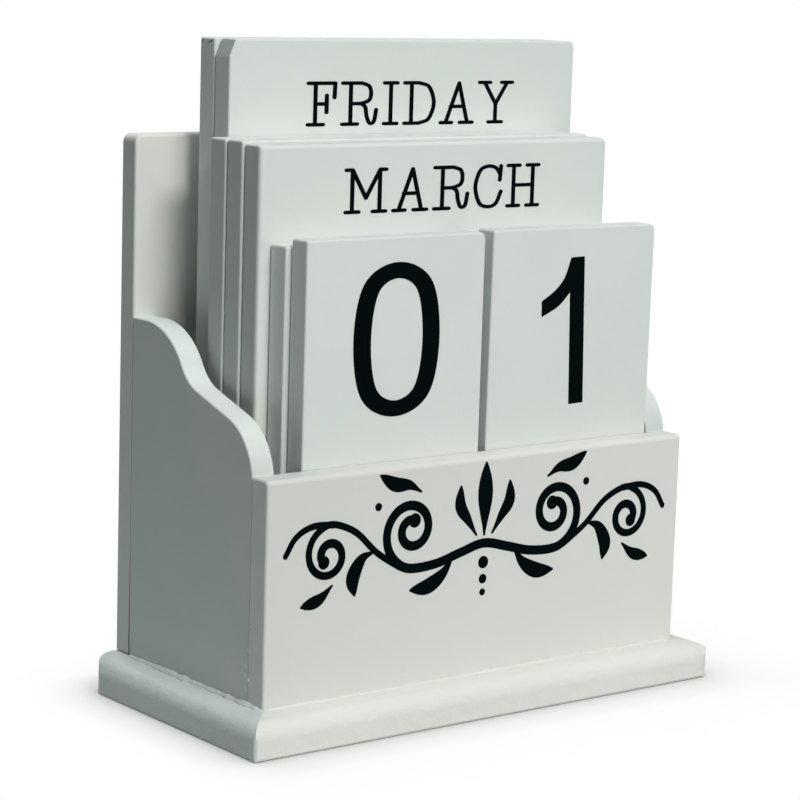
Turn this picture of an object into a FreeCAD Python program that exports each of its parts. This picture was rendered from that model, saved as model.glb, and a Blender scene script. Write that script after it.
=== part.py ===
import FreeCAD, Part
import math
import os

# Perpetual desk calendar in white-painted fibreboard: an open-topped box on a moulded base board,
# with four digit cards, three month plaques and two weekday plaques standing loose inside it.
# Millimetres. X runs to the right along the front, Y runs backwards and Z runs up from the table.
# The origin is on the underside of the base board, at its centre.

# Box panels
PANEL_THICKNESS = 6.0
BOX_WIDTH = 124.4
FRONT_PANEL_HEIGHT = 52.0
BACK_PANEL_HEIGHT = 124.0
PANEL_EDGE_EASE = 0.7
FRONT_TOP_EDGE_EASE = 1.2
BACK_CORNER_RADIUS = 2.0
BACK_PANEL_FOOT_GAP = 0.4

# Scalloped top edge of each side panel, from the shoulder at the back down to the front panel
SHOULDER_HEIGHT = 81.5
SHOULDER_LENGTH = 5.5
HOLLOW_RADIUS = 11.5
WAIST_LENGTH = 13.3
WAIST_SLOPE_DEG = 17.5
NOSE_RADIUS = 14.6
NOSE_END_SLOPE_DEG = 82.0
SCALLOP_EDGE_EASE = 0.45

# Base board: it stands out in front and at both sides, and ends level with the back panel
BASE_THICKNESS = 9.0
BASE_FRONT_OVERHANG = 7.5
BASE_SIDE_OVERHANG = 7.1
BASE_ROUND_WIDTH = 7.0
BASE_ROUND_DROP = 1.6
BASE_ROUND_FOOT_EASE = 4.0
BASE_UNDER_ROUND = 0.8
BASE_FRONT_LEFT_RADIUS = 0.8
BASE_FRONT_RIGHT_RADIUS = 3.7
BASE_REAR_CORNER_RADIUS = 5.5

# Loose plaques: every one stands on the base board, in rows from the front panel to the back panel
ROWS = ("digits", "spare digits", "month front", "month middle", "month rear",
        "weekday front", "weekday rear")
PLAQUE_THICKNESS = 6.0
PLAQUE_GAP = 0.3
PLAQUE_EDGE_EASE = 0.5
PLAQUE_LEFT_CORNER_RADIUS = 0.6
PLAQUE_RIGHT_CORNER_RADIUS = 1.6
SPARE_SLOT = 5.9

DIGIT_CARD_HEIGHT = 103.8
DIGIT_CARD_LEFT_GAP = 7.7
DIGIT_CARD_PAIR_GAP = 1.8
DIGIT_CARD_RIGHT_GAP = 0.6
UNITS_CARD_LEAN_DEG = 0.4

SPARE_CARD_HEIGHT = 102.0
SPARE_CARD_LEFT_GAP = 6.4
SPARE_CARD_PAIR_GAP = 3.1
SPARE_CARD_RIGHT_GAP = 0.3

MONTH_HEIGHT = 124.6
MONTH_FRONT_HEIGHT = 124.0
MONTH_FRONT_EDGE_EASE = 1.0
MONTH_LEFT_GAP = 3.2
MONTH_RIGHT_GAP = 5.6
MONTH_MIDDLE_SHIFT = -0.5
MONTH_REAR_SHIFT = -0.8

WEEKDAY_HEIGHT = 146.8
WEEKDAY_LEFT_GAP = 7.4
WEEKDAY_RIGHT_GAP = 0.9
WEEKDAY_WORN_WIDTH = 1.75
WEEKDAY_WORN_HEIGHT = 4.1

# Brads: headed pins driven through one board into the edge of the next, their heads filled over
BRAD_RADIUS = 0.6
BRAD_HEAD_RADIUS = 1.0
BRAD_HEAD_THICKNESS = 0.6
BRAD_LENGTH = 16.0
BRAD_TIP_LENGTH = 1.5
BRAD_SINK = 0.8
BRAD_MARGIN = 14.0
FRONT_BRAD_COUNT = 2
BACK_BRAD_COUNT = 3
BASE_BRAD_COUNT = 2
BASE_BRAD_MARGIN = 20.0

# How near two coordinates must be to count as the same
TOLERANCE = 1e-4

# Sizes that follow from the ones above
ROW_PITCH = PLAQUE_THICKNESS + PLAQUE_GAP
INNER_WIDTH = BOX_WIDTH - 2 * PANEL_THICKNESS
INNER_DEPTH = len(ROWS) * ROW_PITCH + SPARE_SLOT
BOX_DEPTH = INNER_DEPTH + 2 * PANEL_THICKNESS
BASE_WIDTH = BOX_WIDTH + 2 * BASE_SIDE_OVERHANG
BASE_DEPTH = BOX_DEPTH + BASE_FRONT_OVERHANG

LEFT = -BOX_WIDTH / 2
RIGHT = BOX_WIDTH / 2
BACK = BASE_DEPTH / 2
FRONT = BACK - BOX_DEPTH
INNER_LEFT = LEFT + PANEL_THICKNESS
INNER_RIGHT = RIGHT - PANEL_THICKNESS
INNER_FRONT = FRONT + PANEL_THICKNESS
INNER_BACK = BACK - PANEL_THICKNESS
FLOOR = BASE_THICKNESS
BASE_ROUND_FOOT = BASE_THICKNESS - BASE_ROUND_DROP
# Radius of an arc that is level with the board's top and falls by the drop over the width
BASE_ROUND_RADIUS = (BASE_ROUND_WIDTH ** 2 + BASE_ROUND_DROP ** 2) / (2 * BASE_ROUND_DROP)


def vector(x, y, z):
    return FreeCAD.Vector(x, y, z)


def board(low, high):
    """A plain rectangular board between two opposite corners."""
    size = high - low
    return Part.makeBox(size.x, size.y, size.z, low)


def edges_where(shape, test):
    """The edges of a shape whose middle point passes the test."""
    chosen = []
    for edge in shape.Edges:
        middle = edge.valueAt((edge.FirstParameter + edge.LastParameter) / 2)
        if test(middle):
            chosen.append(edge)
    return chosen


def near(a, b):
    return abs(a - b) < TOLERANCE


# Brads

def brad(head, direction):
    """One brad with the top of its head at head, driven along direction."""
    shank_end = BRAD_LENGTH - BRAD_TIP_LENGTH
    cap = Part.makeCylinder(BRAD_HEAD_RADIUS, BRAD_HEAD_THICKNESS, head, direction)
    shank = Part.makeCylinder(BRAD_RADIUS, shank_end, head, direction)
    tip = Part.makeCone(BRAD_RADIUS, 0, BRAD_TIP_LENGTH, head + direction * shank_end, direction)
    return cap.fuse([shank, tip]).removeSplitter()


def spread(low, high, margin, count):
    """Evenly spaced places from low to high, the first and last a margin in from the ends."""
    step = (high - low - 2 * margin) / max(count - 1, 1)
    return [low + margin + step * index for index in range(count)]


def edge_brads(face_y, direction, edge_height, count):
    """Brads through the front or back panel into the front or back edges of both side panels."""
    pins = []
    for x in (LEFT + PANEL_THICKNESS / 2, RIGHT - PANEL_THICKNESS / 2):
        for z in spread(FLOOR, FLOOR + edge_height, BRAD_MARGIN, count):
            head = vector(x, face_y, z) + direction * BRAD_SINK
            pins.append(brad(head, direction))
    return pins


def base_brads():
    """Brads up through the base board into the lower edges of the four panels."""
    places = []
    for x in spread(LEFT, RIGHT, BASE_BRAD_MARGIN, BASE_BRAD_COUNT):
        places.append((x, FRONT + PANEL_THICKNESS / 2))
        places.append((x, BACK - PANEL_THICKNESS / 2))
    for y in spread(FRONT, BACK, BASE_BRAD_MARGIN, BASE_BRAD_COUNT):
        places.append((LEFT + PANEL_THICKNESS / 2, y))
        places.append((RIGHT - PANEL_THICKNESS / 2, y))
    return [brad(vector(x, y, BRAD_SINK), vector(0, 0, 1)) for x, y in places]


FRONT_BRADS = edge_brads(FRONT, vector(0, 1, 0), FRONT_PANEL_HEIGHT, FRONT_BRAD_COUNT)
BACK_BRADS = edge_brads(BACK, vector(0, -1, 0), SHOULDER_HEIGHT, BACK_BRAD_COUNT)
BASE_BRADS = base_brads()


# Box

def side_edges(blank, x, height):
    return edges_where(blank, lambda p: near(abs(p.x), x) and near(p.z, height))


def front_edges(blank, y, height):
    return edges_where(blank, lambda p: near(p.y, -y) and near(p.z, height))


def round_waste(start, outward, run):
    """What the moulded round takes off along a run. It begins at start, on the board's top."""
    up = vector(0, 0, 1)
    centre = start - up * BASE_ROUND_RADIUS
    foot_angle = math.acos(BASE_ROUND_WIDTH / BASE_ROUND_RADIUS)

    def on_round(angle):
        return centre + (outward * math.cos(angle) + up * math.sin(angle)) * BASE_ROUND_RADIUS

    corner = start + outward * BASE_ROUND_WIDTH
    foot = on_round(foot_angle)
    middle = on_round((foot_angle + math.pi / 2) / 2)
    arc = Part.Arc(foot, middle, start).toShape()
    outline = Part.Wire([Part.makeLine(start, corner), Part.makeLine(corner, foot), arc])
    return Part.Face(outline).extrude(run)


def base_board():
    """Board moulded along its front and sides, with one sharp and one rounded front corner."""
    x = BASE_WIDTH / 2
    y = BASE_DEPTH / 2
    blank = board(vector(-x, -y, 0), vector(x, y, BASE_THICKNESS))
    crown_x = x - BASE_ROUND_WIDTH
    backwards = vector(0, BASE_DEPTH, 0)
    sides = blank.cut([round_waste(vector(crown_x, -y, BASE_THICKNESS), vector(1, 0, 0), backwards),
                       round_waste(vector(-crown_x, -y, BASE_THICKNESS), vector(-1, 0, 0), backwards)])
    sides = sides.makeFillet(BASE_ROUND_FOOT_EASE, side_edges(sides, x, BASE_ROUND_FOOT))
    sides = sides.makeFillet(BASE_UNDER_ROUND, side_edges(sides, x, 0))
    front = blank.cut(round_waste(vector(-x, BASE_ROUND_WIDTH - y, BASE_THICKNESS), vector(0, -1, 0),
                                  vector(BASE_WIDTH, 0, 0)))
    front = front.makeFillet(BASE_ROUND_FOOT_EASE, front_edges(front, y, BASE_ROUND_FOOT))
    front = front.makeFillet(BASE_UNDER_ROUND, front_edges(front, y, 0))
    upright = blank.makeFillet(BASE_REAR_CORNER_RADIUS,
                               edges_where(blank, lambda p: near(abs(p.x), x) and near(p.y, y)))
    upright = upright.makeFillet(BASE_FRONT_LEFT_RADIUS,
                                 edges_where(upright, lambda p: near(p.x, -x) and near(p.y, -y)))
    upright = upright.makeFillet(BASE_FRONT_RIGHT_RADIUS,
                                 edges_where(upright, lambda p: near(p.x, x) and near(p.y, -y)))
    return sides.common(front).common(upright).cut(BASE_BRADS)


def front_panel():
    low = vector(LEFT, FRONT, FLOOR)
    high = vector(RIGHT, INNER_FRONT, FLOOR + FRONT_PANEL_HEIGHT)
    panel = board(low, high)
    panel = panel.makeFillet(FRONT_TOP_EDGE_EASE,
                             edges_where(panel, lambda p: near(p.z, high.z) and near(p.y, FRONT)))
    uprights = edges_where(panel, lambda p: near(p.y, FRONT) and near(abs(p.x), RIGHT))
    panel = panel.makeFillet(PANEL_EDGE_EASE, uprights)
    return panel.cut(FRONT_BRADS + BASE_BRADS)


def back_panel():
    """Back panel, its edges eased where it stands free above the side panels, and at the rear."""
    low = vector(LEFT, INNER_BACK, FLOOR + BACK_PANEL_FOOT_GAP)
    high = vector(RIGHT, BACK, FLOOR + BACK_PANEL_HEIGHT)
    shoulder_z = FLOOR + SHOULDER_HEIGHT
    lower = board(low, vector(RIGHT, BACK, shoulder_z))
    rear_uprights = edges_where(lower, lambda p: near(p.y, BACK) and near(abs(p.x), RIGHT))
    lower = lower.makeFillet(PANEL_EDGE_EASE, rear_uprights)

    upper = board(vector(LEFT, INNER_BACK, shoulder_z), high)
    corners = edges_where(upper, lambda p: near(p.z, high.z) and near(abs(p.x), RIGHT))
    upper = upper.makeFillet(BACK_CORNER_RADIUS, corners)
    for face_y in (INNER_BACK, BACK):
        rim = edges_where(upper, lambda p: near(p.y, face_y) and not near(p.z, shoulder_z))
        upper = upper.makeFillet(PANEL_EDGE_EASE, rim)
    return lower.fuse(upper).removeSplitter().cut(BACK_BRADS + BASE_BRADS)


def arc_points(centre, radius, first_deg, last_deg):
    """Start, middle and end of an arc in the side panel's plane, at these slopes of its tangent."""
    points = []
    for slope in (first_deg, (first_deg + last_deg) / 2, last_deg):
        angle = math.radians(slope)
        offset = vector(0, -math.sin(angle), math.cos(angle)) * radius
        points.append(centre + offset)
    return points


def scallop_path():
    """Top edge of a side panel, from its back end to its front end.

    A flat shoulder turns down over one arc, sweeps out through a hollow arc onto the sloping waist,
    and turns down again over the nose onto the front panel. Both ends, the hollow, the waist and the
    nose are set. The shoulder's radius and the slope between shoulder and hollow follow.
    """
    shoulder_z = FLOOR + SHOULDER_HEIGHT
    nose_z = FLOOR + FRONT_PANEL_HEIGHT
    end = math.radians(NOSE_END_SLOPE_DEG)
    slope = math.radians(WAIST_SLOPE_DEG)
    normal = vector(0, -math.sin(slope), math.cos(slope))
    uphill = vector(0, math.cos(slope), math.sin(slope))

    start = vector(0, INNER_BACK, shoulder_z)
    shoulder_end = start - vector(0, SHOULDER_LENGTH, 0)
    nose_end = vector(0, INNER_FRONT, nose_z)
    nose_centre = nose_end + vector(0, math.sin(end), -math.cos(end)) * NOSE_RADIUS
    waist_end = nose_centre + normal * NOSE_RADIUS
    waist_start = waist_end + uphill * WAIST_LENGTH
    hollow_centre = waist_start + normal * HOLLOW_RADIUS

    # The shoulder arc hangs straight below the end of the flat shoulder, and its centre lies the two
    # radii together from the hollow arc's centre, which leaves one shoulder radius.
    offset = hollow_centre - shoulder_end
    shoulder_radius = (offset.dot(offset) - HOLLOW_RADIUS ** 2) / (2 * (HOLLOW_RADIUS - offset.z))
    shoulder_centre = shoulder_end - vector(0, 0, shoulder_radius)
    toward = hollow_centre - shoulder_centre
    steep_deg = math.degrees(math.atan2(-toward.y, toward.z))

    shoulder_arc = arc_points(shoulder_centre, shoulder_radius, 0, steep_deg)
    hollow_arc = arc_points(hollow_centre, -HOLLOW_RADIUS, steep_deg, WAIST_SLOPE_DEG)
    nose_arc = arc_points(nose_centre, NOSE_RADIUS, WAIST_SLOPE_DEG, NOSE_END_SLOPE_DEG)
    return [
        Part.makeLine(start, shoulder_end),
        Part.Arc(*shoulder_arc).toShape(),
        Part.Arc(*hollow_arc).toShape(),
        Part.makeLine(waist_start, waist_end),
        Part.Arc(*nose_arc).toShape(),
    ]


def scallop_rim(panel, face_x):
    """The edges where a side panel's scallop meets its face at face_x."""
    def on_rim(point):
        at_end = near(point.y, INNER_FRONT) or near(point.y, INNER_BACK)
        return near(point.x, face_x) and not at_end and not near(point.z, FLOOR)
    return edges_where(panel, on_rim)


def side_panel(outer_x):
    """One side panel, its left face at outer_x."""
    nose_end = vector(0, INNER_FRONT, FLOOR + FRONT_PANEL_HEIGHT)
    front_foot = vector(0, INNER_FRONT, FLOOR)
    back_foot = vector(0, INNER_BACK, FLOOR)
    shoulder = vector(0, INNER_BACK, FLOOR + SHOULDER_HEIGHT)
    foot = [Part.makeLine(nose_end, front_foot), Part.makeLine(front_foot, back_foot),
            Part.makeLine(back_foot, shoulder)]
    face = Part.Face(Part.Wire(scallop_path() + foot))
    panel = face.extrude(vector(PANEL_THICKNESS, 0, 0))
    panel.translate(vector(outer_x, 0, 0))
    panel = panel.makeFillet(SCALLOP_EDGE_EASE, scallop_rim(panel, outer_x))
    panel = panel.makeFillet(SCALLOP_EDGE_EASE, scallop_rim(panel, outer_x + PANEL_THICKNESS))
    return panel.cut(FRONT_BRADS + BACK_BRADS + BASE_BRADS)


# Loose plaques

def worn_corner(low, high):
    """The wedge that wear has taken off a plaque's upper left corner."""
    corner = vector(low.x, low.y, high.z)
    along = corner + vector(WEEKDAY_WORN_WIDTH, 0, 0)
    below = corner - vector(0, 0, WEEKDAY_WORN_HEIGHT)
    wedge = Part.Face(Part.makePolygon([corner, along, below, corner]))
    return wedge.extrude(vector(0, PLAQUE_THICKNESS, 0))


def plaque(left, row, width, height, front_ease=PLAQUE_EDGE_EASE, worn=False):
    """One plaque standing in its row, with rounded corners and eased edges."""
    front = INNER_FRONT + PLAQUE_GAP + ROWS.index(row) * ROW_PITCH
    low = vector(left, front, FLOOR)
    high = vector(left + width, front + PLAQUE_THICKNESS, FLOOR + height)
    solid = board(low, high)
    if worn:
        solid = solid.cut(worn_corner(low, high))
    right_corners = edges_where(solid, lambda p: low.y < p.y < high.y and near(p.x, high.x))
    solid = solid.makeFillet(PLAQUE_RIGHT_CORNER_RADIUS, right_corners)
    left_corners = edges_where(solid, lambda p: low.y < p.y < high.y and p.x < low.x + width / 2)
    solid = solid.makeFillet(PLAQUE_LEFT_CORNER_RADIUS, left_corners)
    solid = solid.makeFillet(PLAQUE_EDGE_EASE, edges_where(solid, lambda p: near(p.y, high.y)))
    return solid.makeFillet(front_ease, edges_where(solid, lambda p: near(p.y, low.y)))


def leaning_right(card, right_gap, angle_deg):
    """The card tipped a little to the right, over its rounded lower right corner."""
    radius = PLAQUE_RIGHT_CORNER_RADIUS
    pivot = vector(INNER_RIGHT - right_gap - radius, 0, FLOOR + radius)
    return card.rotated(pivot, vector(0, 1, 0), angle_deg)


def card_pair(row, height, left_gap, pair_gap, right_gap):
    """Two cards side by side, sharing the width that the named gaps leave."""
    width = (INNER_WIDTH - left_gap - pair_gap - right_gap) / 2
    left = INNER_LEFT + left_gap
    right = left + width + pair_gap
    return plaque(left, row, width, height), plaque(right, row, width, height)


def wide_plaque(row, height, left_gap, right_gap, shift=0, front_ease=PLAQUE_EDGE_EASE, worn=False):
    """A plaque nearly as wide as the box, moved sideways by shift."""
    width = INNER_WIDTH - left_gap - right_gap
    return plaque(INNER_LEFT + left_gap + shift, row, width, height, front_ease, worn)


def month_plaque(row, height, shift=0, front_ease=PLAQUE_EDGE_EASE):
    return wide_plaque(row, height, MONTH_LEFT_GAP, MONTH_RIGHT_GAP, shift, front_ease)


def weekday_plaque(row, worn=False):
    return wide_plaque(row, WEEKDAY_HEIGHT, WEEKDAY_LEFT_GAP, WEEKDAY_RIGHT_GAP, worn=worn)


def all_nodes():
    tens, units = card_pair("digits", DIGIT_CARD_HEIGHT, DIGIT_CARD_LEFT_GAP,
                            DIGIT_CARD_PAIR_GAP, DIGIT_CARD_RIGHT_GAP)
    units = leaning_right(units, DIGIT_CARD_RIGHT_GAP, UNITS_CARD_LEAN_DEG)
    spare_tens, spare_units = card_pair("spare digits", SPARE_CARD_HEIGHT, SPARE_CARD_LEFT_GAP,
                                        SPARE_CARD_PAIR_GAP, SPARE_CARD_RIGHT_GAP)
    return {
        "base_board": base_board(),
        "front_panel": front_panel(),
        "back_panel": back_panel(),
        "left_side_panel": side_panel(LEFT),
        "right_side_panel": side_panel(INNER_RIGHT),
        "front_panel_brads": Part.makeCompound(FRONT_BRADS),
        "back_panel_brads": Part.makeCompound(BACK_BRADS),
        "base_brads": Part.makeCompound(BASE_BRADS),
        "tens_card": tens,
        "units_card": units,
        "spare_tens_card": spare_tens,
        "spare_units_card": spare_units,
        "month_plaque_front": month_plaque("month front", MONTH_FRONT_HEIGHT,
                                           front_ease=MONTH_FRONT_EDGE_EASE),
        "month_plaque_middle": month_plaque("month middle", MONTH_HEIGHT, MONTH_MIDDLE_SHIFT),
        "month_plaque_rear": month_plaque("month rear", MONTH_HEIGHT, MONTH_REAR_SHIFT),
        "weekday_plaque_front": weekday_plaque("weekday front", worn=True),
        "weekday_plaque_rear": weekday_plaque("weekday rear"),
    }


os.makedirs("parts", exist_ok=True)
for name, shape in all_nodes().items():
    shape.exportStep("parts/" + name + ".step")
    state = "valid" if shape.isValid() else "not valid"
    print(name, len(shape.Solids), "solids", round(shape.Volume, 1), "mm3", state)
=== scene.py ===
import bpy
import bmesh
import math
from mathutils import Matrix, Vector, noise
from mathutils.geometry import delaunay_2d_cdt


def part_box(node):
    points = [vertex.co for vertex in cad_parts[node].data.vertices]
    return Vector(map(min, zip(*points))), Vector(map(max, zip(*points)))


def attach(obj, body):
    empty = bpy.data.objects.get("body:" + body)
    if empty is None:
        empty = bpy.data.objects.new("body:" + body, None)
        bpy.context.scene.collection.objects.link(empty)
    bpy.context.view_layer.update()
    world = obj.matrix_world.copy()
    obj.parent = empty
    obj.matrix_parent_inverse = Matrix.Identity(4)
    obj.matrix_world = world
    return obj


# The painted calendar box as it stands on a table: its board parts keep their modelled shape and get
# painted finishes, and the cut-vinyl markings, filler beads and paint runs are added on top of them.

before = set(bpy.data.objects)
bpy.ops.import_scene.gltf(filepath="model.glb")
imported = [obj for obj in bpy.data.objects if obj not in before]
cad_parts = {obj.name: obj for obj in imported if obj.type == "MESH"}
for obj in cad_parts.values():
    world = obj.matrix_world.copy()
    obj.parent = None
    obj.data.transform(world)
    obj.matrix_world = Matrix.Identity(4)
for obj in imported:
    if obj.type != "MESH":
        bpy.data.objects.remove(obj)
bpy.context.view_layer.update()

MM = 0.001


# ---------------------------------------------------------------- camera and light

CAMERA_PLACE = Vector((-391.64, -495.74, 174.69)) * MM
CAMERA_YAW = 0.66246
CAMERA_PITCH = 0.16394
CAMERA_ROLL = 0.03052
CAMERA_LENS = 119.74
CAMERA_SENSOR = 36.0
NEAREST_SEEN = 0.01
FARTHEST_SEEN = 50.0

WARM = (1.0, 0.985, 0.965)
COOL = (0.88, 1.0, 1.0)
# Name, azimuth from straight in front (positive to the right), elevation, width, height, power, colour
LAMPS = (
    ("key", -4.5, 40.0, 0.80, 0.32, 17.6, WARM),
    ("low_front", 10.0, 8.0, 1.0, 1.0, 2.0, WARM),
    ("overhead", -90.0, 87.0, 0.35, 0.35, 4.6, COOL),
    ("behind", 178.0, 38.0, 0.9, 0.7, 4.4, COOL),
)
LAMP_DISTANCE = 1.6
AIM = Vector((0, 0, 0.07))
WORLD_LIGHT = 0.015
FLOOR_SIZE = 6.0
# The floor as it is seen, and as it lights the object close by and further out
FLOOR_COLOUR = (0.60, 0.62, 0.61)
FLOOR_BOUNCE = (0.60, 0.65, 0.645)
FAR_FLOOR_BOUNCE = (0.20, 0.25, 0.25)
BOUNCE_FADE = (0.05, 0.40)
# Light that the seen floor adds near the object, and the reach of the painted shade, a dark line where it
# touches
FLOOR_GLOW = 0.45
CONTACT_SHADE_REACH = 0.014
# Half the size and the middle of the shaded patch of floor, and how far from it the floor turns white
PATCH = (0.0693, 0.03475, 0.0)
PATCH_CENTRE = (0.008, -0.006, 0.0)
FLOOR_FADE = (-0.030, 0.036)


def add_camera():
    """A camera in front, to the left and a little above, looking down slightly and rolled a little."""
    data = bpy.data.cameras.new("camera")
    data.lens = CAMERA_LENS
    data.sensor_width = CAMERA_SENSOR
    data.clip_start = NEAREST_SEEN
    data.clip_end = FARTHEST_SEEN
    camera = bpy.data.objects.new("camera", data)
    bpy.context.scene.collection.objects.link(camera)
    forward = Vector((math.sin(CAMERA_YAW), math.cos(CAMERA_YAW), 0))
    side = Vector((math.cos(CAMERA_YAW), -math.sin(CAMERA_YAW), 0))
    up = Vector((0, 0, 1))
    tipped_forward = forward * math.cos(CAMERA_PITCH) - up * math.sin(CAMERA_PITCH)
    tipped_up = up * math.cos(CAMERA_PITCH) + forward * math.sin(CAMERA_PITCH)
    rolled_side = side * math.cos(CAMERA_ROLL) + tipped_up * math.sin(CAMERA_ROLL)
    rolled_up = tipped_up * math.cos(CAMERA_ROLL) - side * math.sin(CAMERA_ROLL)
    axes = Matrix((rolled_side, rolled_up, -tipped_forward)).transposed()
    camera.matrix_world = Matrix.Translation(CAMERA_PLACE) @ axes.to_4x4()
    bpy.context.scene.camera = camera


def add_lamp(name, azimuth, elevation, width, height, power, colour):
    """An oval area lamp that faces the object."""
    data = bpy.data.lights.new(name, "AREA")
    data.shape = "ELLIPSE"
    data.size = width
    data.size_y = height
    data.energy = power
    data.color = colour
    lamp = bpy.data.objects.new(name, data)
    bpy.context.scene.collection.objects.link(lamp)
    turn = math.radians(azimuth)
    lift = math.radians(elevation)
    toward = Vector((math.sin(turn) * math.cos(lift), -math.cos(turn) * math.cos(lift), math.sin(lift)))
    lamp.location = AIM + toward * LAMP_DISTANCE
    lamp.rotation_euler = toward.to_track_quat("Z", "Y").to_euler()


def seen_directly(nodes, links):
    """1 for the rays that see a surface itself, in gloss and glass too, and 0 for those that light it."""
    path = nodes.new("ShaderNodeLightPath")
    result = path.outputs["Is Camera Ray"]
    for name in ("Is Glossy Ray", "Is Transmission Ray"):
        either = nodes.new("ShaderNodeMath")
        either.operation = "MAXIMUM"
        links.new(result, either.inputs[0])
        links.new(path.outputs[name], either.inputs[1])
        result = either.outputs[0]
    return result


def smooth_step(nodes, links, value, begins, full):
    """0 where the value is below one limit, 1 above the other, and an eased rise between them."""
    node = nodes.new("ShaderNodeMapRange")
    node.interpolation_type = "SMOOTHSTEP"
    node.inputs["From Min"].default_value = begins
    node.inputs["From Max"].default_value = full
    links.new(value, node.inputs["Value"])
    return node.outputs["Result"]


def either_colour(nodes, links, factor, first, second):
    """One of two colours, or a mix of them, each a constant or another node's output."""
    node = nodes.new("ShaderNodeMix")
    node.data_type = "RGBA"
    links.new(factor, node.inputs["Factor"])
    for socket, value in ((node.inputs[6], first), (node.inputs[7], second)):
        if isinstance(value, tuple):
            socket.default_value = (*value, 1.0)
        else:
            links.new(value, socket)
    return node.outputs[2]


def add_world():
    """Dim all-round light, which the camera, gloss and glass see as plain white."""
    world = bpy.data.worlds.new("world")
    bpy.context.scene.world = world
    world.use_nodes = True
    nodes = world.node_tree.nodes
    links = world.node_tree.links
    nodes.clear()
    dim = nodes.new("ShaderNodeBackground")
    dim.inputs["Color"].default_value = (1, 1, 1, 1)
    dim.inputs["Strength"].default_value = WORLD_LIGHT
    white = nodes.new("ShaderNodeBackground")
    white.inputs["Color"].default_value = (1, 1, 1, 1)
    mix = nodes.new("ShaderNodeMixShader")
    output = nodes.new("ShaderNodeOutputWorld")
    links.new(seen_directly(nodes, links), mix.inputs["Fac"])
    links.new(dim.outputs[0], mix.inputs[1])
    links.new(white.outputs[0], mix.inputs[2])
    links.new(mix.outputs[0], output.inputs["Surface"])


def add_floor():
    """White table top that takes the object's shadow and fades to plain white further out."""
    mesh = bpy.data.meshes.new("floor")
    half = FLOOR_SIZE / 2
    corners = [(-half, -half, 0), (half, -half, 0), (half, half, 0), (-half, half, 0)]
    mesh.from_pydata(corners, [], [(0, 1, 2, 3)])
    floor = bpy.data.objects.new("floor", mesh)
    bpy.context.scene.collection.objects.link(floor)
    material = bpy.data.materials.new("floor_white")
    material.use_nodes = True
    nodes = material.node_tree.nodes
    links = material.node_tree.links
    nodes.clear()
    diffuse = nodes.new("ShaderNodeBsdfDiffuse")
    # Painted shade: ambient occlusion dims the floor's seen glow and white near the object, which paints a
    # dark contact line where it touches
    contact_shade = nodes.new("ShaderNodeAmbientOcclusion")
    contact_shade.inputs["Distance"].default_value = CONTACT_SHADE_REACH
    seen = seen_directly(nodes, links)
    open_air = nodes.new("ShaderNodeMath")
    open_air.operation = "MULTIPLY"
    links.new(seen, open_air.inputs[0])
    links.new(contact_shade.outputs["AO"], open_air.inputs[1])
    strength = nodes.new("ShaderNodeMath")
    strength.operation = "MULTIPLY"
    strength.inputs[1].default_value = FLOOR_GLOW
    links.new(open_air.outputs[0], strength.inputs[0])
    glow = nodes.new("ShaderNodeEmission")
    links.new(strength.outputs[0], glow.inputs["Strength"])
    near_floor = nodes.new("ShaderNodeAddShader")
    links.new(diffuse.outputs[0], near_floor.inputs[0])
    links.new(glow.outputs[0], near_floor.inputs[1])
    coordinates = nodes.new("ShaderNodeTexCoord")
    distance = coordinates.outputs["Object"]
    for operation, operand in (("SUBTRACT", PATCH_CENTRE), ("ABSOLUTE", None), ("SUBTRACT", PATCH),
                               ("MAXIMUM", (0, 0, 0)), ("LENGTH", None)):
        step = nodes.new("ShaderNodeVectorMath")
        step.operation = operation
        links.new(distance, step.inputs[0])
        if operand:
            step.inputs[1].default_value = operand
        distance = step.outputs["Value" if operation == "LENGTH" else "Vector"]
    fade = smooth_step(nodes, links, distance, *FLOOR_FADE)
    bounce = either_colour(nodes, links, smooth_step(nodes, links, distance, *BOUNCE_FADE),
                           FLOOR_BOUNCE, FAR_FLOOR_BOUNCE)
    tint = either_colour(nodes, links, seen, bounce, FLOOR_COLOUR)
    links.new(tint, diffuse.inputs["Color"])
    far = nodes.new("ShaderNodeMath")
    far.operation = "MULTIPLY"
    links.new(fade, far.inputs[0])
    links.new(seen, far.inputs[1])
    white = nodes.new("ShaderNodeEmission")
    links.new(contact_shade.outputs["AO"], white.inputs["Strength"])
    mix = nodes.new("ShaderNodeMixShader")
    links.new(far.outputs[0], mix.inputs["Fac"])
    links.new(near_floor.outputs[0], mix.inputs[1])
    links.new(white.outputs[0], mix.inputs[2])
    output = nodes.new("ShaderNodeOutputMaterial")
    links.new(mix.outputs[0], output.inputs["Surface"])
    mesh.materials.append(material)


# ---------------------------------------------------------------- materials

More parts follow.
